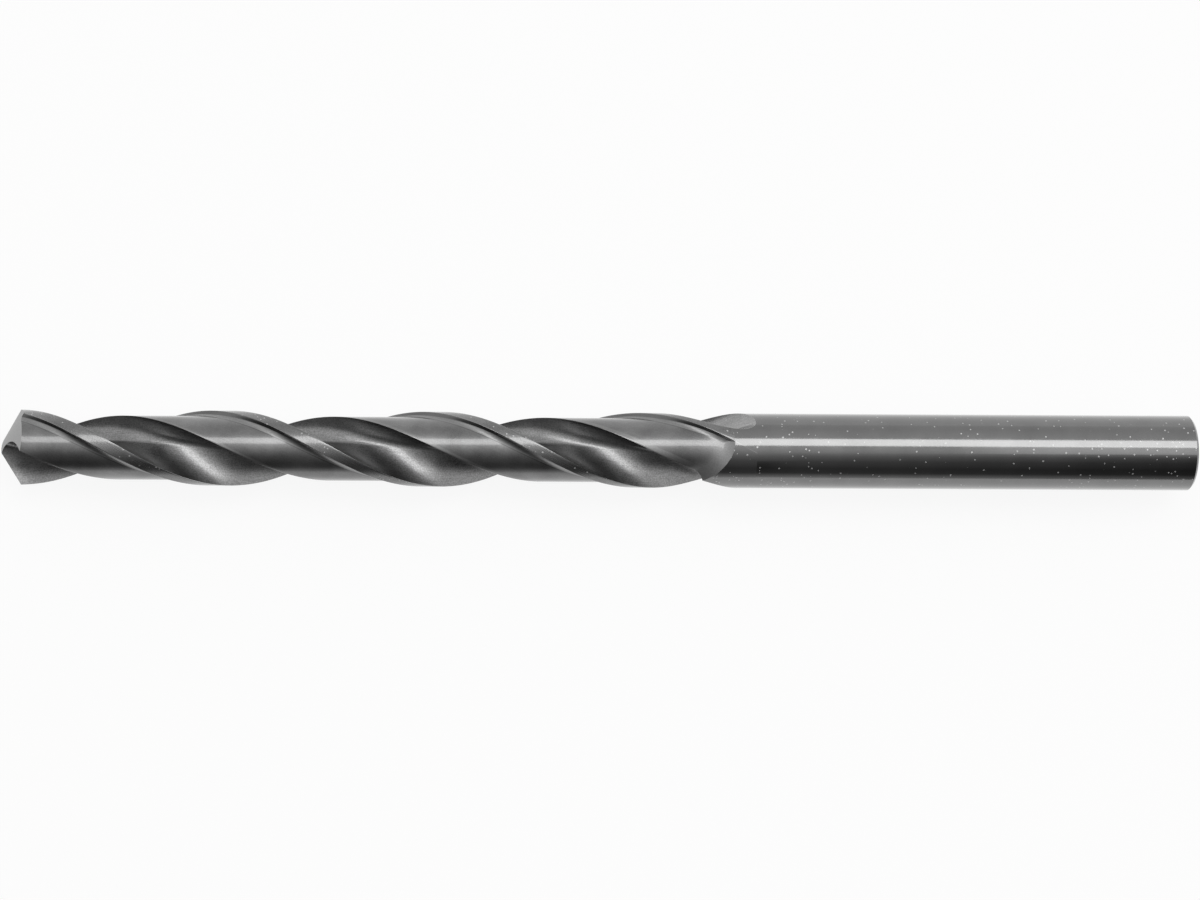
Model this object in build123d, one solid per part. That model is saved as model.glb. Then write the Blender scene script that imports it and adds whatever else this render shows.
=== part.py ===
from build123d import *
from math import acos, asin, atan, atan2, cos, degrees, pi, radians, sin, sqrt, tan
import os

# A straight-shank twist drill for metal, ground from one round bar of hardened steel.
# It lies along X: the point faces -X, and the flat end of the shank is at the origin.
# Lengths are in millimetres and angles in degrees. An angle in a cross-section starts at +Y
# and grows towards +Z.

# Driving dimensions
drill_diameter = 6.9
back_taper = 0.03            # the body narrows this much from its point to the shank
overall_length = 109.0
flute_length = 69.0          # from the point to where the flutes leave the bar
helix_pitch = 38.7           # right-hand, one full turn of a flute
point_angle = 118.0
web_thickness = 1.05         # core left between the two flutes
land_angle = 105.2           # from the cutting corner back to the heel
margin_angle = 18.0          # narrow strip of each land that keeps the full diameter
margin_wall_depth = 0.33     # steep back of the margin
margin_wall_slope = 65.0     # measured from the strip
margin_foot_radius = 1.2     # hollow between that wall and the relieved land
clearance_depth = 0.5        # how far the rest of the land is relieved
flute_root_radius = 0.9      # root of the flute, next to the web
flute_root_sweep = 30.0      # from there a wider arc runs on to the heel
flute_wheel_radius = 10.0    # wheel that rises out of the bar at the end of each flute
relief_setback = 3.2         # the relief ends this far before the flutes do, mid-land
relief_slope = 1.1           # width of its sloping end, measured along the helix
relief_past_heel = 10.0      # the relief runs on over the heel and into the flute
cone_tilt = 11.0             # tilt of the two grinding cones, which relieves the lips
cone_offset = 1.5            # how far each cone starts behind the axis of the drill
lip_turn = 11.0              # direction of the first lip
shank_chamfer = 0.2

# Sizes that follow from them
radius = drill_diameter / 2
shank_radius = radius - back_taper / 2
half_web = web_thickness / 2
relief_radius = radius - clearance_depth
half_point = radians(point_angle / 2)
helix_angle = atan(2 * pi * radius / helix_pitch)
tip_x = -overall_length
flute_end_x = tip_x + flute_length
relief_end_x = flute_end_x - relief_setback

# The cutters reach this far past the metal
reach = 1.3
outside_radius = radius + reach
# Cutters that run out on the relieved surface start this far under it
under_floor = 0.02


def at_angle(distance, angle):
    """A point of a cross-section, in polar form."""
    return Vector(distance * cos(radians(angle)), distance * sin(radians(angle)))


def twist(x):
    """How far the cross-section has turned at x."""
    return lip_turn + 360 * (x - tip_x) / helix_pitch


def across(x, turn):
    """Place of a cross-section: square to the drill at x, and turned about its axis."""
    return Plane(origin=(x, 0, 0), x_dir=(0, 1, 0), z_dir=(1, 0, 0)).location * Rot(Z=turn)


def twisted(profile, start, end, turn_start, turn_end):
    """A cross-section drawn along the drill while it turns."""
    placed = across(start, turn_start) * profile
    return Solid.extrude_linear_with_rotation(
        placed.face(), (start, 0, 0), (end - start, 0, 0), turn_end - turn_start)


def rake_angle(distance):
    """Where the rake face crosses a radius, so that the ground lip comes out straight."""
    along_lip = sqrt(max(distance**2 - half_web**2, 0))
    depth = along_lip / tan(half_point)
    return -degrees(asin(min(half_web / distance, 1))) - 360 * depth / helix_pitch


corner_angle = rake_angle(radius)
heel_angle = corner_angle + land_angle
facing_heel_angle = heel_angle - 180                     # heel of the other land
flute_direction = (corner_angle + facing_heel_angle) / 2
wall_angle = corner_angle + margin_angle                 # back of the margin


def bar():
    """The ground bar before its flutes: a body with back taper, and a chamfered shank."""
    start = tip_x - reach
    seam_turn = 110                                      # clear of the cutting corners
    body_length = flute_end_x - start
    front_radius = shank_radius + (radius - shank_radius) * body_length / flute_length
    on_its_base = (Align.CENTER, Align.CENTER, Align.MIN)
    body = Cone(front_radius, shank_radius, body_length, align=on_its_base)
    shank = Cylinder(shank_radius, overall_length - flute_length, align=on_its_base)
    shank = chamfer(shank.edges().group_by(Axis.Z)[-1], shank_chamfer)
    return across(start, seam_turn) * body + across(flute_end_x, seam_turn) * shank


def flute_profile():
    """The flute ahead of the first lip: rake face, root arc and hollow heel wall."""
    lip_width = radius - half_web
    rake_radii = [half_web + lip_width * step / 4 for step in range(5)] + [outside_radius]
    rake = Spline(*[at_angle(distance, rake_angle(distance)) for distance in rake_radii])
    # The root arc touches the web, and each next piece leaves the one before on a tangent
    root_centre = (0, -half_web - flute_root_radius)
    root = CenterArc(root_centre, flute_root_radius, 90, flute_root_sweep)
    heel_wall = TangentArc(root @ 1, at_angle(radius, facing_heel_angle), tangent=root % 1)
    way_out = Line(heel_wall @ 1, heel_wall @ 1 + (heel_wall % 1) * reach)
    mouth = ThreePointArc(
        way_out @ 1, at_angle(outside_radius, flute_direction), rake @ 1)
    return make_face([rake, root, heel_wall, way_out, mouth])


def flute_cutters():
    """One flute: its steady twist, and the end where the wheel rises out of the bar."""
    profile = flute_profile()
    rise_direction = at_angle(1, flute_direction)
    root_along = at_angle(half_web, -90).dot(rise_direction)
    rise = sqrt(radius**2 - half_web**2 + root_along**2) - root_along
    run_out = sqrt(flute_wheel_radius**2 - (flute_wheel_radius - rise) ** 2)
    rise_start_x = flute_end_x - run_out
    start = tip_x - reach
    steady = twisted(profile, start, rise_start_x, twist(start), twist(rise_start_x))
    clear_of_bar = 0.4
    section_count = 9
    sections = []
    for step in range(section_count):
        run = (run_out + clear_of_bar) * step / (section_count - 1)
        x = rise_start_x + run
        lift = flute_wheel_radius - sqrt(flute_wheel_radius**2 - run**2)
        sections.append(across(x, twist(x)) * Pos(rise_direction * lift) * profile)
    return [steady, loft(sections)]


def relief_profile():
    """Section of the relief: steep margin wall, hollow foot, floor, and an open far side."""
    # The wall leans back over the relief, and the foot touches the floor
    lean = at_angle(1, wall_angle) * tan(radians(margin_wall_slope)) - at_angle(1, wall_angle + 90)
    wall_top = at_angle(radius, wall_angle)
    wall_foot = wall_top - lean * (margin_wall_depth / tan(radians(margin_wall_slope)))
    floor_radius = relief_radius - under_floor
    foot_centre_radius = floor_radius + margin_foot_radius
    foot_sweep = degrees(acos(
        (wall_foot.length**2 + foot_centre_radius**2 - margin_foot_radius**2)
        / (2 * wall_foot.length * foot_centre_radius)))
    foot_angle = degrees(atan2(wall_foot.Y, wall_foot.X)) + foot_sweep
    foot_centre = at_angle(foot_centre_radius, foot_angle)
    middle = foot_centre - ((foot_centre - wall_foot).normalized()
                            + at_angle(1, foot_angle)).normalized() * margin_foot_radius
    foot = ThreePointArc(wall_foot, middle, at_angle(floor_radius, foot_angle))
    floor = CenterArc((0, 0), floor_radius, foot_angle, heel_angle + relief_past_heel - foot_angle)
    clear_of_bar = 0.3
    wall = Line(wall_top + lean.normalized() * clear_of_bar, wall_foot)
    far_top = at_angle(radius + clear_of_bar, heel_angle + relief_past_heel)
    middle_top = at_angle(radius + clear_of_bar, (wall_angle + heel_angle) / 2)
    ceiling = ThreePointArc(wall @ 0, middle_top, far_top)
    return make_face([wall, foot, floor, Line(floor @ 1, far_top), ceiling])


def relief_cutter():
    """Body clearance of the first land: it leaves the margin, and ends in a slope."""
    start = tip_x - reach
    half_run = radius * radians(land_angle) * tan(helix_angle) / 2
    stop = relief_end_x + half_run + reach / 2
    cutter = twisted(relief_profile(), start, stop, twist(start), twist(stop))
    core = extrude(across(start - reach, 0) * Circle(relief_radius), stop - start + 2 * reach)
    return cutter - relief_end(half_run + reach) - core


def relief_end(half_run):
    """What the relief leaves standing: a slope up to the full bar, square to the helix."""
    slope_angle = degrees(relief_slope / sin(helix_angle) / (radius - clearance_depth / 2))
    middle_rise = 0.33 * clearance_depth                 # the slope is hollow
    slope = ThreePointArc(
        at_angle(relief_radius - under_floor, -slope_angle),
        at_angle(relief_radius + middle_rise, -slope_angle / 2),
        at_angle(radius, 0))
    inside = relief_radius - clearance_depth
    outside = outside_radius + reach
    inner = ThreePointArc(
        at_angle(inside, -slope_angle), at_angle(inside, 90), at_angle(inside, 180))
    outer = ThreePointArc(at_angle(outside, 0), at_angle(outside, 90), at_angle(outside, 180))
    edges = [
        slope, Line(slope @ 1, outer @ 0), outer,
        Line(outer @ 1, inner @ 1), inner, Line(inner @ 0, slope @ 0)]
    middle_turn = twist(relief_end_x) + (wall_angle + heel_angle) / 2
    cross_pitch = 2 * pi * radius * tan(helix_angle)
    swing = 360 * half_run / cross_pitch
    return twisted(
        make_face(edges), relief_end_x - half_run, relief_end_x + half_run,
        middle_turn + swing, middle_turn - swing)


def point_grinder():
    """The cup-shaped space round the cone that grinds the flank behind the first lip."""
    tilt = radians(cone_tilt)
    cone_half_angle = acos(cos(tilt) * cos(half_point))
    # The cone passes through the tip of the drill, which sets how far ahead of it it starts
    narrow = cos(cone_half_angle) ** 2
    a = cos(tilt) ** 2 - narrow
    b = -2 * half_web * sin(tilt) * cos(tilt)
    c = (half_web * sin(tilt)) ** 2 - narrow * (cone_offset**2 + half_web**2)
    ahead = (sqrt(b**2 - 4 * a * c) - b) / (2 * a)
    cup_back = -2 * reach
    cup_rim = ahead + drill_diameter
    cup_radius = cup_rim * tan(cone_half_angle)
    outline = Polyline(
        (0, 0), (cup_back, 0), (cup_back, cup_radius), (cup_rim, cup_radius), close=True)
    cup = revolve(make_face(outline), Axis.X)
    return (Pos(tip_x - ahead, 0, 0) * Rot(X=lip_turn) * Pos(0, -cone_offset, -half_web)
            * Rot(Y=cone_tilt) * cup)


def twist_drill():
    """The bar, with everything ground away twice, half a turn apart."""
    drill = bar()
    cutters = flute_cutters() + [relief_cutter(), point_grinder()]
    for turn in (0, 180):
        for cutter in cutters:
            drill -= Rot(X=turn) * cutter
    return drill.solid()


os.makedirs("parts", exist_ok=True)
export_step(twist_drill(), "parts/twist_drill.step")
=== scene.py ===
from math import acos, asin, atan, atan2, cos, hypot, pi, radians, sin, sqrt, tan

import bmesh
import bpy
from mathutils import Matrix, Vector
from mathutils.geometry import delaunay_2d_cdt


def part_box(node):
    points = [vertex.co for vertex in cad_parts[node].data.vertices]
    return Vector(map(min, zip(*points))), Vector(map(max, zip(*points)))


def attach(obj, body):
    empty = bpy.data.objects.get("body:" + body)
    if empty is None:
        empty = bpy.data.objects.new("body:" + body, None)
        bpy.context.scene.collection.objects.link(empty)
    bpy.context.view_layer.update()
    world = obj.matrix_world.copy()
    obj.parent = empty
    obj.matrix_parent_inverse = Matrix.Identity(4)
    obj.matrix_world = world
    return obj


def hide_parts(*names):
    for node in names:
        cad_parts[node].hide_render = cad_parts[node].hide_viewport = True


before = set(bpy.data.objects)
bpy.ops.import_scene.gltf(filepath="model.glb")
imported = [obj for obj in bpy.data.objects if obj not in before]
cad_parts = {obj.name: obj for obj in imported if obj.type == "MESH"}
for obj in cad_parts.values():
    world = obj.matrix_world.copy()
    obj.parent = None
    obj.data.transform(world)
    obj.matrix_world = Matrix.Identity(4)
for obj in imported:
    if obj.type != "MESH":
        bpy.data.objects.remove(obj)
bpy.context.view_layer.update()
mm = 0.001

# The drill lies along X with its point at -X. Sizes are in millimetres until a mesh is placed,
# and angles of a cross-section go from +Y towards +Z.
drill = {
    "helixPitch": 38.7,
    "pointAngle": 118.0,
    "webThickness": 1.05,
    "landAngle": 105.2,         # from the cutting corner back to the heel, at full diameter
    "marginAngle": 18.0,
    "marginWallDepth": 0.33,
    "marginWallSlope": 65.0,
    "marginFootRadius": 1.2,    # hollow between the wall and the relieved land
    "clearanceDepth": 0.5,
    "fluteLength": 69.0,
    "fluteRootRadius": 0.9,
    "fluteRootSweep": 30.0,
    "fluteWheelRadius": 10.0,
    "reliefSetback": 3.2,
    "reliefSlope": 1.1,
    "slopeStraight": 0.32,      # share of the slope's rise that is straight, the rest is hollow
    "reliefBend": 3.15,         # the relief ends in an arc of this radius across the land
    "reliefApex": 38.6,         # the arc's furthest point, behind the cutting corner
    "reliefArcEnd": 0.4,        # past its ends the arc runs straight on
    "reliefBulge": 0.25,
    "reliefLean": 0.66,         # flatter towards the heel
    # How much wider the margin is at a place along the drill, as an angle
    "marginSlip": [(-109, 3.2), (-54, -1.8), (-44, -9)],
    "coneTilt": 11.0,
    "coneOffset": 1.5,
    "lipTurn": 11.0,
    "backTaper": 0.03,
    "shankChamfer": 0.2,
    "wornEdge": 0.035,          # how far the sharp edges are worn back
    "smoothUpTo": 22,           # sharper edges than this angle stay creases
}

lowCorner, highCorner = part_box("twist_drill")
tipX = lowCorner.x / mm
radius = highCorner.z / mm
shankRadius = radius - drill["backTaper"] / 2
halfWeb = drill["webThickness"] / 2
floorRadius = radius - drill["clearanceDepth"]
pitch = drill["helixPitch"]
halfPoint = radians(drill["pointAngle"] / 2)
helixAngle = atan(2 * pi * radius / pitch)
fluteEndX = tipX + drill["fluteLength"]
reliefEndX = fluteEndX - drill["reliefSetback"]


def twist(x):
    return radians(drill["lipTurn"]) + 2 * pi * (x - tipX) / pitch


def barRadius(x):
    share = min(max((x - tipX) / drill["fluteLength"], 0), 1)
    return radius + (shankRadius - radius) * share


def polar(distance, angle):
    return distance * cos(angle), distance * sin(angle)


def blend(a, b, share):
    return a + (b - a) * share


def rakeAngle(distance):
    alongLip = sqrt(max(distance**2 - halfWeb**2, 0))
    return -asin(min(halfWeb / distance, 1)) - 2 * pi * alongLip / tan(halfPoint) / pitch


cornerAngle = rakeAngle(radius)
heelAngle = cornerAngle + radians(drill["landAngle"])
mouthAngle = (cornerAngle + heelAngle - pi) / 2
wallAngle = cornerAngle + radians(drill["marginAngle"])

# The margin ends in a steep wall, and an arc that touches the relieved floor starts at its foot
wallRun = drill["marginWallDepth"] / tan(radians(drill["marginWallSlope"]))
wallBottom = hypot(radius - drill["marginWallDepth"], wallRun)
footStart = wallAngle + atan2(wallRun, radius - drill["marginWallDepth"])
footBend = drill["marginFootRadius"]
footCentre = floorRadius + footBend
footTurn = (wallBottom**2 + footCentre**2 - footBend**2) / (2 * wallBottom * footCentre)
floorEdge = footStart + acos(footTurn)

# The relief ends in a slope that lies square to the helix
crossPitch = 2 * pi * radius * tan(helixAngle)
slopeAngle = drill["reliefSlope"] / sin(helixAngle) / (radius - drill["clearanceDepth"] / 2)


def slopeGap(angle, x):
    # How far a place of the land is in front of the slope's upper edge, as an angle
    middle = (wallAngle + heelAngle) / 2
    straight = middle - 2 * pi * (x - reliefEndX) * (1 / pitch + 1 / crossPitch)
    across = (angle - cornerAngle - radians(drill["reliefApex"])) * radius * cos(helixAngle)
    bend = drill["reliefBend"]
    if across > 0:
        across *= drill["reliefLean"]
    back = bend - sqrt(max(bend**2 - across**2, drill["reliefArcEnd"])) - drill["reliefBulge"]
    return straight - angle - back / (radius * sin(helixAngle))


def marginSlip(x):
    points = drill["marginSlip"]
    if x <= points[0][0]:
        return radians(points[0][1])
    for (fromX, fromSlip), (toX, toSlip) in zip(points, points[1:]):
        if x < toX:
            return radians(blend(fromSlip, toSlip, (x - fromX) / (toX - fromX)))
    return radians(points[-1][1])


def landRadius(angle, x):
    full = barRadius(x)
    gap = slopeGap(angle, x)
    angle -= marginSlip(x)
    if angle <= wallAngle:
        return full
    ground = floorRadius
    if angle < footStart:
        steep = tan(radians(drill["marginWallSlope"]))
        off = angle - wallAngle
        ground = radius / (cos(off) + sin(off) * steep)
    elif angle < floorEdge:
        off = footCentre * sin(floorEdge - angle)
        ground = footCentre * cos(floorEdge - angle) - sqrt(footBend**2 - off**2)
    share = 1 - gap / slopeAngle
    if share > 0:
        share = min(share, 1)
        rise = blend(share**2, share, drill["slopeStraight"])
        ground = max(ground, blend(floorRadius, full, rise))
    return min(ground, full)


# The flute's outline runs from the heel that faces it, round the root and up the rake face
outlineSteps = {"wayOut": 20, "wall": 80, "root": 30, "rake": 100}
pastBar = 1.3                   # and on past the bar at both ends


def drawFlute():
    rootRadius = drill["fluteRootRadius"]
    rootX, rootY = 0, -halfWeb - rootRadius
    sweep = radians(drill["fluteRootSweep"])
    touchX, touchY = rootX - rootRadius * sin(sweep), rootY + rootRadius * cos(sweep)
    # The wider arc leaves the root on a tangent and goes through the heel
    heelX, heelY = polar(radius, heelAngle - pi)
    awayX, awayY = touchX - heelX, touchY - heelY
    wallRadius = -(awayX**2 + awayY**2) / (2 * (awayX * sin(sweep) - awayY * cos(sweep)))
    wallX, wallY = touchX + wallRadius * sin(sweep), touchY - wallRadius * cos(sweep)
    heelTurn = atan2(heelY - wallY, heelX - wallX) + 2 * pi
    points = []
    count = outlineSteps["wayOut"]
    for step in range(count):
        past = pastBar * (1 - step / count)
        points.append((heelX - past * sin(heelTurn), heelY + past * cos(heelTurn)))
    count = outlineSteps["wall"]
    for step in range(count):
        turn = blend(heelTurn, pi / 2 + sweep, step / count)
        points.append((wallX + wallRadius * cos(turn), wallY + wallRadius * sin(turn)))
    count = outlineSteps["root"]
    for step in range(count):
        turn = blend(pi / 2 + sweep, pi / 2, step / count)
        points.append((rootX + rootRadius * cos(turn), rootY + rootRadius * sin(turn)))
    count = outlineSteps["rake"]
    for step in range(count + 1):
        distance = blend(halfWeb, radius + pastBar, step / count)
        points.append(polar(distance, rakeAngle(distance)))
    return points


flutePoints = drawFlute()
fluteRuns = [0.0]
for (aX, aY), (bX, bY) in zip(flutePoints, flutePoints[1:]):
    fluteRuns.append(fluteRuns[-1] + hypot(bX - aX, bY - aY))
rootRun = fluteRuns[outlineSteps["wayOut"] + outlineSteps["wall"] + outlineSteps["root"]]


def fluteAt(run, lift):
    low, high = 0, len(fluteRuns) - 1
    while high - low > 1:
        middle = (low + high) // 2
        if fluteRuns[middle] <= run:
            low = middle
        else:
            high = middle
    share = (run - fluteRuns[low]) / (fluteRuns[high] - fluteRuns[low])
    liftX, liftY = polar(lift, mouthAngle)
    return (blend(flutePoints[low][0], flutePoints[high][0], share) + liftX,
            blend(flutePoints[low][1], flutePoints[high][1], share) + liftY)


rootAlong = -halfWeb * sin(mouthAngle)
fluteRise = sqrt(radius**2 - halfWeb**2 + rootAlong**2) - rootAlong
wheel = drill["fluteWheelRadius"]
runOut = sqrt(wheel**2 - (wheel - fluteRise) ** 2)
riseStartX = fluteEndX - runOut


def fluteLift(x):
    along = min(max(x - riseStartX, 0), runOut)
    return wheel - sqrt(wheel**2 - along**2)


def solve(grows, low, high, halvings=32):
    # The place where a growing value passes zero
    for _ in range(halvings):
        middle = (low + high) / 2
        if grows(middle) > 0:
            high = middle
        else:
            low = middle
    return (low + high) / 2


def otherLand(angle):
    # The heel that faces this flute belongs to the other land, half a turn on
    return (angle + 2 * pi) % (2 * pi) - pi


# Where the two ends of the flute's outline cross the outside of the bar
crossings = {}


def fluteMouth(x):
    key = round(x, 4)
    if key not in crossings:
        lift = fluteLift(x)

        def pastHeel(run):
            pointX, pointY = fluteAt(run, lift)
            return hypot(pointX, pointY) - landRadius(otherLand(atan2(pointY, pointX)), x)

        def pastCorner(run):
            return hypot(*fluteAt(run, lift)) - barRadius(x)

        heelRun = solve(pastHeel, rootRun, 0.0, halvings=26)
        cornerRun = solve(pastCorner, rootRun, fluteRuns[-1], halvings=26)
        heelX, heelY = fluteAt(heelRun, lift)
        cornerX, cornerY = fluteAt(cornerRun, lift)
        crossings[key] = heelRun, cornerRun, otherLand(atan2(heelY, heelX)), atan2(cornerY, cornerX)
    return crossings[key]


# The flanks are two tilted cones, each offset behind the axis
def flankHeight(y, z, side):
    turn = radians(drill["lipTurn"]) + pi * side
    alongY = y * cos(turn) + z * sin(turn) + drill["coneOffset"]
    alongZ = -y * sin(turn) + z * cos(turn) + halfWeb
    return coneDepth(alongY, alongZ) - coneAhead


def coneDepth(y, z):
    tilt = radians(drill["coneTilt"])
    narrow = (cos(tilt) * cos(halfPoint)) ** 2
    a = cos(tilt) ** 2 - narrow
    b = -2 * z * cos(tilt) * sin(tilt)
    c = (z * sin(tilt)) ** 2 - narrow * (y**2 + z**2)
    return (sqrt(max(b**2 - 4 * a * c, 0)) - b) / (2 * a)


coneAhead = coneDepth(drill["coneOffset"], halfWeb)


def pointHeight(y, z):
    return tipX + max(flankHeight(y, z, 0), flankHeight(y, z, 1))


# The lines that run along the drill: each is (kind, share of its kind)
def drawLines():
    worn = drill["wornEdge"]
    fluteWidth = 8              # roughly, round the flute's outline
    fluteWear = worn / fluteWidth
    lines = []
    heelLines, rakeLines = 38, 30
    for step in range(heelLines):
        lines.append(("flute", blend(0, chiselShare, step / heelLines)))
    for step in range(rakeLines):
        lines.append(("flute", blend(chiselShare, 1, step / rakeLines)))
    lines.insert(1, ("flute", fluteWear))
    lines.append(("flute", 1 - fluteWear))
    marginWear = worn / (radius * (wallAngle - cornerAngle))
    floorWear = worn / (floorRadius * (heelAngle - floorEdge))
    for share in (0, marginWear, 0.2, 0.4, 0.6, 0.8, 1 - marginWear):
        lines.append(("margin", share))
    lines += [("wall", share) for share in (0, 0.14, 0.5, 0.86)]
    lines += [("foot", share) for share in (0, 0.2, 0.4, 0.6, 0.8)]
    floorSteps = 24
    lines += [("floor", step / floorSteps) for step in range(floorSteps)]
    lines.append(("floor", 1 - floorWear))
    return lines


def linePlace(line, x):
    kind, share = line
    if kind == "flute":
        heelRun, cornerRun, heel, corner = fluteMouth(x)
        closed = 1e-3
        if x >= fluteEndX or cornerRun - heelRun < closed:
            return polar(barRadius(x), mouthAngle)
        return fluteAt(blend(heelRun, cornerRun, share), fluteLift(x))
    heel, corner = fluteMouth(x)[2:]
    if x >= fluteEndX:
        heel, corner = mouthAngle + pi, mouthAngle
    angle = landAngle(kind, share, heel, corner, marginSlip(x))
    return polar(landRadius(angle, x), angle)


def landAngle(kind, share, heel, corner, slip):
    wall, foot, floor = wallAngle + slip, footStart + slip, floorEdge + slip
    start, end = {"margin": (corner, wall), "wall": (wall, foot), "foot": (foot, floor),
                  "floor": (floor, heel)}[kind]
    return blend(start, end, share)


def placeLine(line, half, x):
    y, z = linePlace(line, x)
    turn = twist(min(x, fluteEndX)) + pi * half
    return Vector((x, y * cos(turn) - z * sin(turn), y * sin(turn) + z * cos(turn)))


def startOf(line, half):

    def past(x):
        place = placeLine(line, half, x)
        return x - pointHeight(place.y, place.z)

    beforeTip, behindTip = tipX - 1, tipX + 6
    return solve(past, beforeTip, behindTip)


# Share of the flute's outline where the chisel edge ends
def chiselEnd(share):
    place = placeLine(("flute", share), 0, startOf(("flute", share), 0))
    return flankHeight(place.y, place.z, 0) - flankHeight(place.y, place.z, 1)


chiselShare = solve(chiselEnd, 0.2, 0.9)
lines = drawLines()
print("chisel edge ends at", round(chiselShare, 4), "of the flute,", len(lines), "lines a side")


def wornBack(ring):
    # The corner of the lip, the back of the margin and the heel lose their last sharpness
    for index, (kind, share) in enumerate(lines * 2):
        if share == 0 and kind in ("flute", "margin", "wall"):
            neighbours = ring[index - 1] + ring[(index + 1) % len(ring)]
            ring[index] = ring[index] / 2 + neighbours / 4


# Where each line meets the upper edge of the relief's slope
def slopeTop(line):
    kind, share = line
    if kind == "flute":
        return blend(slopeTop(("floor", 1)), slopeTop(("margin", 0)), share)

    def past(x):
        return -slopeGap(lineAngle(line, x), x)

    inRelief, inRunOut = reliefEndX - 4, fluteEndX - 0.05
    return solve(past, inRelief, inRunOut)


def lineAngle(line, x):
    kind, share = line
    heel, corner = fluteMouth(x)[2:]
    return landAngle(kind, share, heel, corner, marginSlip(x))


# How many rings of points go round each stretch
rings = {
    "point": 22,
    "body": 123,
    "neck": 20,
    "slope": 8,
    "runOut": 26,
    "shank": 10,
}
ringCuts = (14, 13)             # two rounds of cuts leave 15 * 14 spans, one fewer than the rings
# The point's rings end this far behind the tip, and the neck's start this far before the relief ends
pointReach, neckReach = 8, 9
slopeRun = slopeAngle / (2 * pi * (1 / pitch + 1 / crossPitch))


def stations(line, half):
    start = startOf(line, half)
    top = slopeTop(line)
    foot = top - slopeRun
    afterPoint, beforeNeck = tipX + pointReach, reliefEndX - neckReach
    shankEnd = -drill["shankChamfer"]
    places = []
    for low, high, count, power in (
            (start, afterPoint, rings["point"], 1), (afterPoint, beforeNeck, rings["body"], 1),
            (beforeNeck, foot, rings["neck"], 1), (foot, top, rings["slope"], 1),
            (top, fluteEndX, rings["runOut"], 2), (fluteEndX, shankEnd, rings["shank"], 1)):
        for step in range(count):
            places.append(high - (high - low) * (1 - step / count) ** power)
    return places + [shankEnd, 0]


def makeDrill():
    lineCount = 2 * len(lines)
    ringCount = sum(rings.values()) + 2
    length = 100 * mm           # for now: each point is placed below
    bpy.ops.object.select_all(action="DESELECT")
    bpy.ops.mesh.primitive_cylinder_add(
        vertices=lineCount, radius=radius * mm, depth=length, end_fill_type="NOTHING")
    piece = bpy.context.object
    piece.name = "drill"
    bpy.ops.object.mode_set(mode="EDIT")
    bpy.ops.mesh.select_mode(type="EDGE")
    for cuts in ringCuts:
        bpy.ops.mesh.select_all(action="DESELECT")
        cage = bmesh.from_edit_mesh(piece.data)
        for edge in cage.edges:
            edge.select_set(abs(edge.verts[0].co.z - edge.verts[1].co.z) > mm)
        bmesh.update_edit_mesh(piece.data)
        bpy.ops.mesh.subdivide(number_cuts=cuts)
    bpy.ops.object.mode_set(mode="OBJECT")
    print("bar of", len(piece.data.vertices), "points")

    grid = [[None] * lineCount for _ in range(ringCount)]
    for vertex in piece.data.vertices:
        ring = round((vertex.co.z / length + 0.5) * (ringCount - 1))
        turn = atan2(vertex.co.y, vertex.co.x) - pi / 2      # the first line starts at +Y
        line = round(turn / (2 * pi) * lineCount) % lineCount
        grid[ring][line] = vertex.index

    columns = []
    for half in (0, 1):
        for line in lines:
            columns.append([placeLine(line, half, x) for x in stations(line, half)])
    faceShare = 1 - drill["shankChamfer"] / shankRadius
    for ring in range(ringCount):
        places = [column[ring].copy() for column in columns]
        if ring == ringCount - 1:
            places = [Vector((0, place.y * faceShare, place.z * faceShare)) for place in places]
        else:
            wornBack(places)
        if ring == 0:
            for place in places:
                place.x = pointHeight(place.y, place.z)
        for line, place in enumerate(places):
            piece.data.vertices[grid[ring][line]].co = place * mm
    print("flutes, margins and relief ground")

    markFinish(piece, grid)
    closePoint(piece, grid[0])
    bpy.ops.object.mode_set(mode="EDIT")
    bpy.ops.mesh.select_all(action="SELECT")
    bpy.ops.mesh.remove_doubles(threshold=0.0005 * mm)
    bpy.ops.mesh.select_all(action="DESELECT")
    cage = bmesh.from_edit_mesh(piece.data)
    for edge in cage.edges:
        edge.select_set(all(abs(vertex.co.x) < 0.001 * mm for vertex in edge.verts))
    bmesh.update_edit_mesh(piece.data)
    bpy.ops.mesh.edge_face_add()
    bpy.ops.mesh.select_all(action="SELECT")
    bpy.ops.mesh.normals_make_consistent(inside=False)
    bpy.ops.object.mode_set(mode="OBJECT")
    bpy.ops.object.shade_smooth_by_angle(angle=radians(drill["smoothUpTo"]))
    return piece


finishOrder = ["fluteSteel", "landSteel", "groundSteel", "shankSteel", "marginSteel"]


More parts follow.
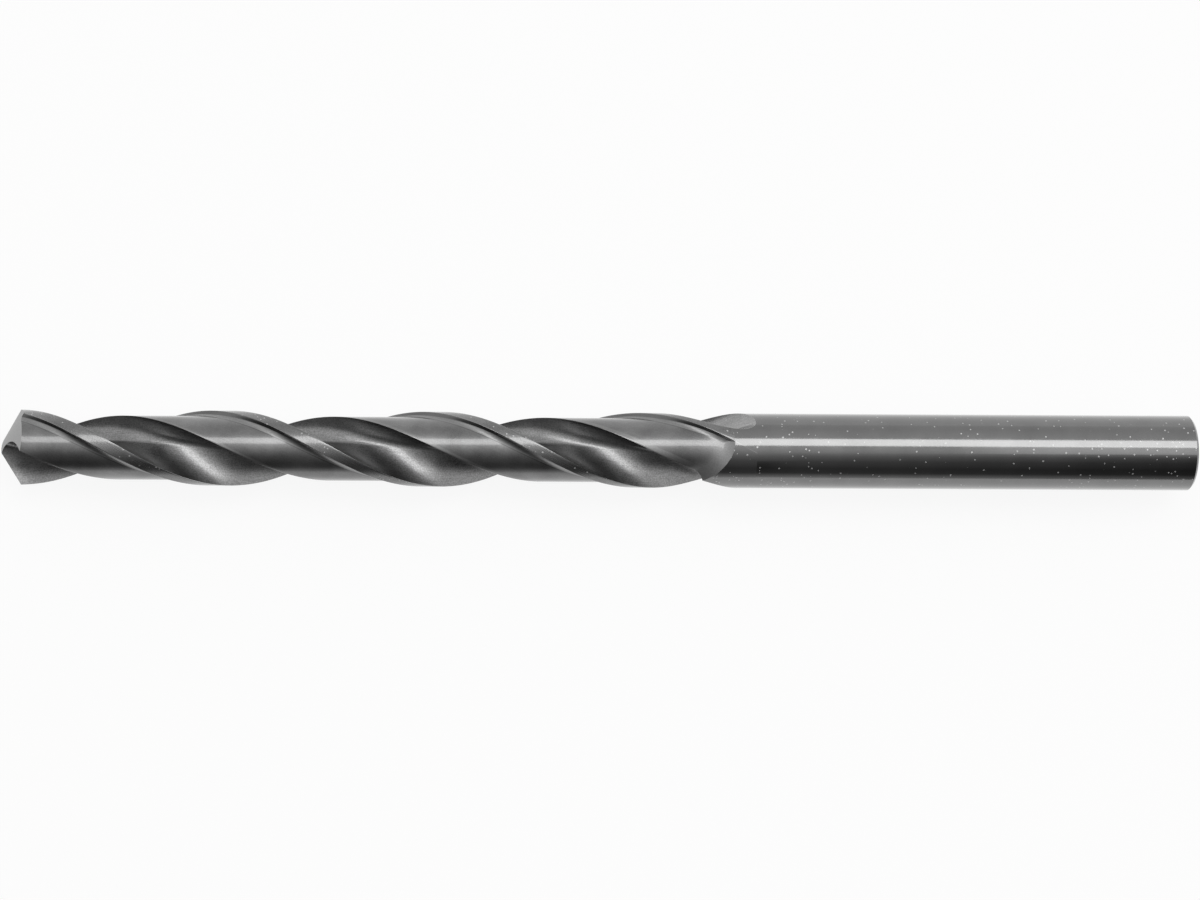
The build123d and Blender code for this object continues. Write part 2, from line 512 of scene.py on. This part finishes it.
# Each face gets its finish, and each corner its place across and along the twist in millimetres
def markFinish(piece, grid):
    mesh = piece.data
    lineCount = len(grid[0])
    where = {index: (ring, line) for ring, row in enumerate(grid) for line, index in enumerate(row)}
    slopeStart = rings["point"] + rings["body"] + rings["neck"]
    runOutStart = slopeStart + rings["slope"]
    shankStart = runOutStart + rings["runOut"]
    groundRings = 2.5           # the ground slope begins this many rings early
    xOf = [[mesh.vertices[index].co.x / mm for index in row] for row in grid]
    ground = mesh.attributes.new("ground", "FLOAT", "POINT")
    edge = mesh.attributes.new("edge", "FLOAT", "POINT")
    for index, (ring, line) in where.items():
        kind, share = lines[line % len(lines)]
        ground.data[index].value = min(max((ring - slopeStart) / groundRings + 1, 0), 1)
        if share == 0 and kind in ("flute", "margin", "wall") and ring < shankStart:
            edge.data[index].value = 1
        if ring == 0:
            edge.data[index].value = 0
    lay = mesh.uv_layers[0]
    lay.name = "lay"
    for face in mesh.polygons:
        spots = [where[index] for index in face.vertices]
        columns = sorted({line for ring, line in spots})
        first = columns[1] if columns[-1] - columns[0] > 1 else columns[0]
        ring = min(ring for ring, line in spots)
        kind = lines[first % len(lines)][0]
        if ring >= (shankStart if kind == "flute" else runOutStart):
            finish = "shankSteel"
        else:
            finish = {"flute": "fluteSteel", "margin": "marginSteel"}.get(kind, "landSteel")
        face.material_index = finishOrder.index(finish)
        for corner, (ring, line) in zip(face.loop_indices, spots):
            x = min(xOf[ring][line], fluteEndX)
            across = acrossLay(kind, lines[line % len(lines)], line != first, x)
            lay.data[corner].uv = (across, (xOf[ring][line] - tipX) / cos(helixAngle))


def acrossLay(kind, line, last, x):
    heelRun, cornerRun, heel, corner = fluteMouth(x)
    ownKind, share = line
    if kind == "flute":
        share = share if ownKind == "flute" and not (last and share == 0) else 1
        return blend(heelRun, cornerRun, share) - rootRun
    slip = marginSlip(x) if kind != "margin" else 0
    if ownKind == "flute":
        return (heel - corner - slip) * radius
    return (landAngle(ownKind, share, heel, corner, marginSlip(x)) - corner - slip) * radius


def closePoint(piece, rim):
    # The flanks are filled inside the first ring, with the chisel edge as a crease
    cage = bmesh.new()
    cage.from_mesh(piece.data)
    cage.verts.ensure_lookup_table()
    outline = [cage.verts[index] for index in rim]
    flat = [Vector((vertex.co.y, vertex.co.z)) / mm for vertex in outline]
    edges = [(index, (index + 1) % len(flat)) for index in range(len(flat))]
    ends = [index + half * len(lines) for half in (0, 1)
            for index, line in enumerate(lines) if line == ("flute", chiselShare)]
    spacing = 0.16
    rowSpacing = spacing * 0.87
    creaseSteps = 8
    crease = [flat[ends[0]].lerp(flat[ends[1]], step / creaseSteps) for step in range(1, creaseSteps)]
    crease = [onChisel(point, flat[ends[0]] - flat[ends[1]]) for point in crease]
    chain = [ends[0]] + list(range(len(flat), len(flat) + len(crease))) + [ends[1]]
    inner = []
    steps = int(radius / spacing) + 1
    for row in range(-steps, steps + 1):
        for column in range(-steps, steps + 1):
            point = Vector(((column + (row % 2) / 2) * spacing, row * rowSpacing))
            if point.length > radius or not inside(point, flat):
                continue
            if min((point - other).length for other in flat + crease) > spacing * 0.6:
                inner.append(point)
    result = delaunay_2d_cdt(
        flat + crease + inner, edges + list(zip(chain, chain[1:])), [list(range(len(flat)))], 1, 1e-6)
    vertices, origins, triangles = result[0], result[3], result[2]
    made = []
    for point, origin in zip(vertices, origins):
        if origin and min(origin) < len(flat):
            made.append(outline[min(origin)])
        else:
            x = pointHeight(point.x, point.y)
            made.append(cage.verts.new(Vector((x, point.x, point.y)) * mm))
    flank = finishOrder.index("groundSteel")
    for triangle in triangles:
        cage.faces.new([made[index] for index in triangle]).material_index = flank
    cage.to_mesh(piece.data)
    cage.free()
    print("point closed with", len(triangles), "faces")


def onChisel(point, along):
    side = Vector((-along.y, along.x)).normalized()
    nearby = 0.2

    def gap(offset):
        place = point + side * offset
        return flankHeight(place.x, place.y, 0) - flankHeight(place.x, place.y, 1)

    low, high = (-nearby, nearby) if gap(nearby) > 0 else (nearby, -nearby)
    return point + side * solve(gap, low, high)


def inside(point, outline):
    crossed = False
    for a, b in zip(outline, outline[1:] + outline[:1]):
        if (a.y > point.y) != (b.y > point.y):
            if point.x < a.x + (point.y - a.y) * (b.x - a.x) / (b.y - a.y):
                crossed = not crossed
    return crossed


piece = makeDrill()


class Wire:
    # A socket in a node tree that can stand in a sum
    def __init__(self, tree, socket=None):
        self.tree, self.socket = tree, socket

    def add(self, kind, settings=None, inputs=None, output=0):
        node = self.tree.nodes.new("ShaderNode" + kind)
        for name, value in (settings or {}).items():
            if name == "stops":
                stops = node.color_ramp.elements
                while len(stops) < len(value):
                    stops.new(1)
                for stop, (place, level) in zip(stops, value):
                    stop.position, stop.color = place, (level, level, level, 1)
            else:
                setattr(node, name, value)
        for name, value in (inputs or {}).items():
            if isinstance(value, Wire):
                self.tree.links.new(value.socket, node.inputs[name])
            else:
                node.inputs[name].default_value = value
        return Wire(self.tree, node.outputs[output])

    def out(self, name):
        return Wire(self.tree, self.socket.node.outputs[name])

    def math(self, operation, first, second=0.0):
        return self.add("Math", {"operation": operation}, {0: first, 1: second})

    def __add__(self, other):
        return self.math("ADD", self, other)

    def __radd__(self, other):
        return self.math("ADD", other, self)

    def __sub__(self, other):
        return self.math("SUBTRACT", self, other)

    def __rsub__(self, other):
        return self.math("SUBTRACT", other, self)

    def __mul__(self, other):
        return self.math("MULTIPLY", self, other)

    def __rmul__(self, other):
        return self.math("MULTIPLY", other, self)

    def atLeast(self, other):
        return self.math("MAXIMUM", self, other)

    def between(self, low, high):
        # Rises from 0 to 1 as the value goes from low to high
        return self.add("MapRange", {"interpolation_type": "SMOOTHSTEP"},
                        {"Value": self, "From Min": low, "From Max": high})

    def noise(self, scale, detail=2.0, stretch=(1, 1, 1), shift=(0, 0, 0)):
        place = self.add("Mapping", {}, {"Vector": self, "Scale": stretch, "Location": shift})
        return place.add("TexNoise", {}, {"Vector": place, "Scale": scale, "Detail": detail}, "Fac")

    def specks(self, scale, size):
        # Small spots, one in some of the cells
        cells = self.add("TexVoronoi", {}, {"Vector": self, "Scale": scale}, "Distance")
        colour = cells.out("Color")
        chance = colour.add("SeparateColor", {}, {"Color": colour}, "Red")
        return 1 - (cells - size * chance).between(0, 0.05), chance


# Oil is the weight of a thin clear coat, and dust is how much paler its specks are
looks = {
    "fluteSteel": {
        "shade": 0.22, "roughness": 0.3, "oil": 0.2,
        "streaks": 0.25, "grain": 0.8, "stain": 0.35, "dust": 0,
        "groundLift": 0.12,     # paler where the flute runs out
    },
    "landSteel": {
        "shade": 0.15, "roughness": 0.3, "oil": 1,
        "streaks": 0.15, "grain": 0.3, "stain": 0.6, "dust": 0,
        # The margin's foot, the heel and the relief's end are ground brighter than the land between
        "groundShade": 0.27, "groundRoughness": 0.5, "footShare": 0.55, "heelShare": 0.4,
        # The last two darken the crease at the foot's far edge and the wall: painted shade
        "heelStart": (5.2, 5.4), "creaseShadeDark": 0.4, "wallShadeDark": 0.45,
    },
    "groundSteel": {
        "shade": 0.36, "roughness": 0.42, "oil": 0,
        "streaks": 0, "grain": 0.2, "stain": 0.1, "dust": 0,
    },
    "shankSteel": {
        "shade": 0.165, "roughness": 0.13, "oil": 0.8,
        "streaks": 0, "grain": 0.08, "stain": 0.2, "dust": 0.3,
    },
    "marginSteel": {
        "shade": 0.17, "roughness": 0.27, "oil": 0.7,
        "streaks": 0.2, "grain": 0.5, "stain": 0.4, "dust": 0.3,
    },
}
steel = {
    "stainScale": 420,
    "cloudScale": 130,
    "grainScale": 9000,
    "streakStretch": (9, 0.35, 1),          # across and along the twist
    "scratchStretch": (34, 0.5, 1),
    "stainRoughness": 0.12,
    "scratchRoughness": 0.08,
    # paler worn metal along the sharp edges, partly a painted highlight
    "wornAndHighlightShade": 0.3,
    "dustScale": 3400,
    "dustSize": 0.26,
    "dustRoughness": 0.4,
    "dustyNeck": (-0.045, -0.03),           # dust lies thicker up to here along the drill, in metres
    "dustyEnd": (-0.012, 0),                # and from here on
    "oilRoughness": 0.06,
}


def makeSteel(name):
    look = looks[name]
    material = bpy.data.materials.new(name)
    material.use_nodes = True
    tree = material.node_tree
    shader = tree.nodes["Principled BSDF"]
    start = Wire(tree)
    place = start.add("TexCoord", {}, {}, "Object")
    lay = start.add("UVMap", {"uv_map": "lay"}, {}, "UV")
    across = lay.add("SeparateXYZ", {}, {"Vector": lay}, "X")
    ground = start.add("Attribute", {"attribute_name": "ground"}, {}, "Fac")
    edge = start.add("Attribute", {"attribute_name": "edge"}, {}, "Fac")

    stain = place.noise(steel["stainScale"], 4)
    cloud = place.noise(steel["cloudScale"], 2, shift=(3, 1, 2))
    grain = place.noise(steel["grainScale"], 3)
    streaks = lay.noise(1, 3, stretch=steel["streakStretch"])
    scratches = lay.noise(1, 2, stretch=steel["scratchStretch"])

    uneven = ((stain - 0.5) * 2 * look["stain"] + (streaks - 0.5) * 2 * look["streaks"]
              + (grain - 0.5) * 2 * look["grain"])
    shade = look["shade"] * (1 + uneven)
    roughness = (look["roughness"] + (stain - 0.5) * steel["stainRoughness"]
                 + (scratches - 0.5) * steel["scratchRoughness"])
    if name == "landSteel":
        shade, roughness = grindLand(look, across, ground, grain, scratches, shade, roughness)
    if name == "fluteSteel":
        shade = shade + ground * look["groundLift"]
    # Worn edges are paler metal, and this paler line along the sharp edges is also a painted highlight
    worn = edge.between(0.15, 0.9) * cloud.between(0.35, 0.6)
    shade = shade + worn * steel["wornAndHighlightShade"]
    if look["dust"]:
        along = place.add("SeparateXYZ", {}, {"Vector": place}, "X")
        dusty = 1 - along.between(*steel["dustyNeck"]) + along.between(*steel["dustyEnd"])
        spots, chance = place.specks(steel["dustScale"], steel["dustSize"])
        dust = spots * (chance + dusty * 0.1).between(0.9, 0.94)
        shade = shade + dust * look["dust"]
        roughness = roughness + dust * steel["dustRoughness"]
    tree.links.new(shade.socket, shader.inputs["Base Color"])
    tree.links.new(roughness.socket, shader.inputs["Roughness"])
    shader.inputs["Metallic"].default_value = 1
    shader.inputs["Coat Weight"].default_value = look["oil"]
    shader.inputs["Coat Roughness"].default_value = steel["oilRoughness"]
    piece.data.materials.append(material)


def grindLand(look, across, ground, grain, scratches, shade, roughness):
    wallEnd = (footStart - cornerAngle) * radius
    footEnd = (floorEdge - cornerAngle) * radius
    foot = 1 - across.between(footEnd - 0.05, footEnd)
    heel = across.between(*look["heelStart"])
    finish = ground.atLeast(foot * look["footShare"]).atLeast(heel * look["heelShare"])
    brushed = 1 + (grain - 0.5) * 0.5 + (scratches - 0.5) * 0.4
    shade = shade * (1 - finish) + finish * look["groundShade"] * brushed
    # Painted shade: a dark line along the foot's far edge, in the crease where the foot meets the
    # floor, and the wall darkened as it is in its own shade
    creaseShade = across.between(footEnd - 0.1, footEnd - 0.02) * (1 - across.between(footEnd, footEnd + 0.1))
    wall = 1 - across.between(wallEnd, wallEnd + 0.1)
    shade = shade * (1 - creaseShade * (1 - ground) * look["creaseShadeDark"]) * (1 - wall * look["wallShadeDark"])
    return shade, roughness * (1 - finish) + finish * look["groundRoughness"]


for name in finishOrder:
    makeSteel(name)
print("steel finished in", len(finishOrder), "ways")
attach(piece, "root")
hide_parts("twist_drill")

light = {
    # How bright the room is, by the angle from straight up
    "levels": [(-100, 0.9), (-85, 0.5), (-72, 0.12), (-55, 0.1), (-31, 0.22), (-18, 0.4),
               (-3, 0.72), (8, 1.0), (45, 0.95), (71, 0.8), (100, 0.9)],
    "stripLevel": 2.6,
    "stripLength": 0.56,
    "stripWidth": 0.185,
    "stripDistance": 0.5,
    "stripAngle": 27.5,
    "stripMiddle": 0.07,
    "fillLevel": 0.5,
    "fillSize": (0.3, 0.2),
    "fillPlace": (0.242, 0.078, 0.5),
    "fillAngle": 9,
    "sideLevel": 1.15,          # bright wall beyond the shank
    "sideStart": (0.5, 0.66),
    "endsDark": 0.8,            # the dark side is darker still towards both ends
    "endsStart": (0.1, 0.4),
    "darkSide": (0.44, 0.5),    # in turns, where 0.5 is straight up
    "paper": 0.85,
    "paperRoughness": 0.9,
    "paperGlow": 0.9,
    "paperSize": 3,
    "paperMiddle": -0.05,
}

room = bpy.data.worlds.new("room")
bpy.context.scene.world = room
room.use_nodes = True
background = room.node_tree.nodes["Background"]
start = Wire(room.node_tree)
direction = start.add("TexCoord", {}, {}, "Generated")
split = direction.add("SeparateXYZ", {}, {"Vector": direction})
turn = start.math("ARCTAN2", split.out("Y"), split.out("Z")) * (0.5 / pi) + 0.5
stops = [((angle + 180) / 360, level) for angle, level in light["levels"]]
walls = turn.add("ValToRGB", {"stops": stops}, {"Fac": turn}, "Color")
level = walls.add("RGBToBW", {}, {"Color": walls}, "Val")
along = split.out("X")
darkSide = 1 - turn.between(*light["darkSide"])
ends = along.math("ABSOLUTE", along).between(*light["endsStart"]) * darkSide * light["endsDark"]
side = along.between(*light["sideStart"])
walls = level * (1 - ends) * (1 - side) + side * light["sideLevel"]
seen = start.add("LightPath", {}, {}, "Is Camera Ray")
backdrop = seen.add("Mix", {"data_type": "RGBA"},
                    {"Factor": seen, 6: walls, 7: (1, 1, 1, 1)}, 2)
room.node_tree.links.new(backdrop.socket, background.inputs["Color"])


def areaLamp(name, level, size, place, lean):
    lampData = bpy.data.lights.new(name, "AREA")
    lampData.shape = "RECTANGLE"
    lampData.size, lampData.size_y = size
    lampData.energy = level * pi * size[0] * size[1]
    lamp = bpy.data.objects.new(name, lampData)
    bpy.context.scene.collection.objects.link(lamp)
    lamp.location = place
    lamp.rotation_euler = (-lean, 0, 0)


lean = radians(light["stripAngle"])
distance = light["stripDistance"]
areaLamp("strip", light["stripLevel"], (light["stripLength"], light["stripWidth"]),
         (light["stripMiddle"], distance * sin(lean), distance * cos(lean)), lean)
areaLamp("fill", light["fillLevel"], light["fillSize"], light["fillPlace"], radians(light["fillAngle"]))

bpy.ops.object.select_all(action="DESELECT")
bpy.ops.mesh.primitive_plane_add(
    size=light["paperSize"], location=(light["paperMiddle"], 0, -radius * mm))
floor = bpy.context.object
floor.name = "floor"
pale = bpy.data.materials.new("palePaper")
pale.use_nodes = True
paper = pale.node_tree.nodes["Principled BSDF"]
paper.inputs["Base Color"].default_value = (light["paper"], light["paper"], light["paper"], 1)
paper.inputs["Roughness"].default_value = light["paperRoughness"]
start = Wire(pale.node_tree)
path = start.add("LightPath")
seen = path.out("Is Camera Ray").atLeast(path.out("Is Glossy Ray")) * light["paperGlow"]
glow = start.add("Emission", {}, {"Color": (1, 1, 1, 1), "Strength": 1.0})
mixed = start.add("MixShader", {}, {"Fac": seen, 1: Wire(pale.node_tree, paper.outputs[0]), 2: glow})
pale.node_tree.links.new(mixed.socket, pale.node_tree.nodes["Material Output"].inputs["Surface"])
floor.data.materials.append(pale)

view = {
    "pixelSize": 0.09183,
    "distance": 2450,
    "tipPixel": 1.5,
    "footPixel": 460,
    "roll": 0.0052,
    "frameWidth": 1200,
    "sensorWidth": 36,
    "drop": 0.06,
}
cameraData = bpy.data.cameras.new("camera")
camera = bpy.data.objects.new("camera", cameraData)
bpy.context.scene.collection.objects.link(camera)
bpy.context.scene.camera = camera
cameraData.sensor_width = view["sensorWidth"]
cameraData.lens = view["distance"] / view["frameWidth"] * view["sensorWidth"]
cameraData.shift_x = (view["frameWidth"] / 2 - view["footPixel"]) / view["frameWidth"]
footX = tipX + (view["footPixel"] - view["tipPixel"]) * view["pixelSize"]
camera.location = (footX * mm, -view["drop"] * mm, view["distance"] * view["pixelSize"] * mm)
camera.rotation_euler = (0, 0, view["roll"])
cameraData.clip_start = 0.01

bpy.context.scene.view_settings.view_transform = "Standard"
print("lamps, floor and camera placed")
